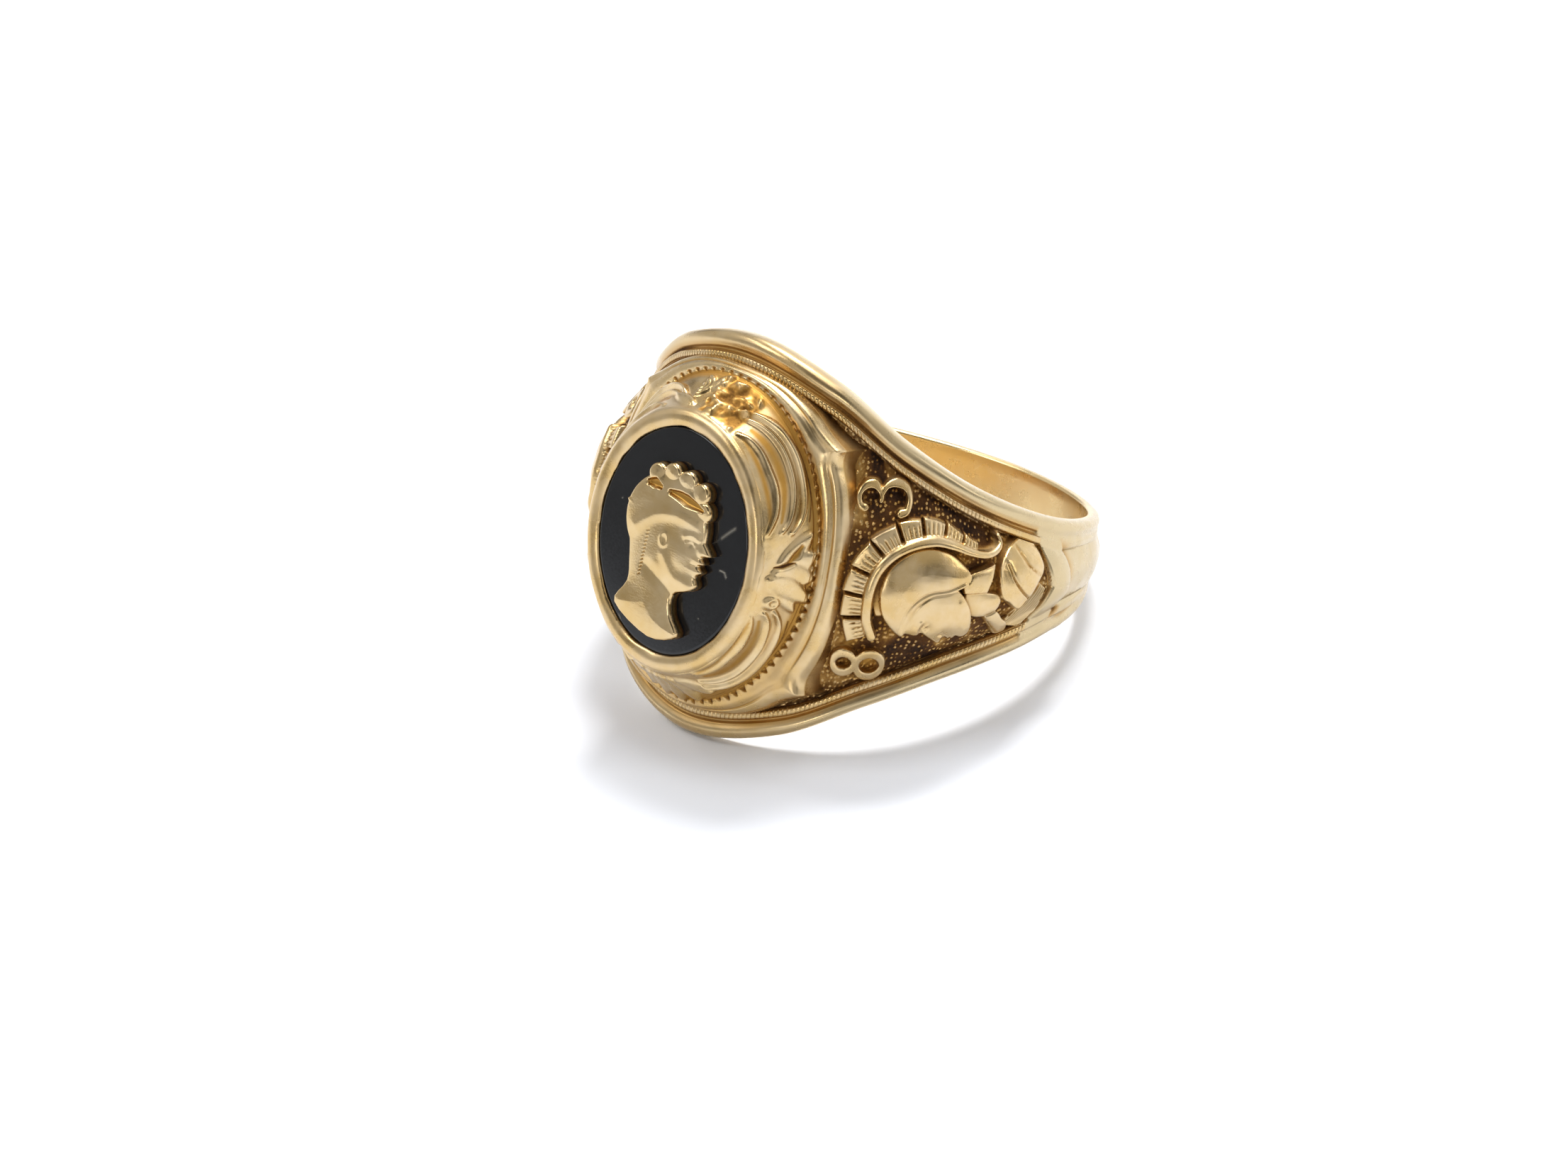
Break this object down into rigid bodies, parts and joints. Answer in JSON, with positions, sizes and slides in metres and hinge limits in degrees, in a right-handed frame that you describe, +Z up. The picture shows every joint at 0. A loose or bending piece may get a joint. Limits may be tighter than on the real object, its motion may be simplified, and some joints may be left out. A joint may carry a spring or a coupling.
{
  "type": "onyx signet ring",
  "caption": "Gold signet ring with a flat oval onyx in a raised collar, an applied profile head and carved shoulders with milgrain rails.",
  "frame": {"origin": "middle of the ring's box on the surface that it lies on", "axes": "the stone faces -Y and a little up, the back of the band is at +Y, +Z is up from the surface, and the finger hole runs up and back"},
  "size_m": [0.0228, 0.0244, 0.0172],
  "materials": {
    "gold": "polished and worn yellow gold, dark in the recesses",
    "onyx": "polished black onyx",
    "gold_polished": "polished yellow gold, rubbed smooth"
  },
  "bodies": {
    "root": {"ring_body": "gold", "onyx_stone": "onyx", "applied_head": "gold_polished"}
  },
  "joints": []
}
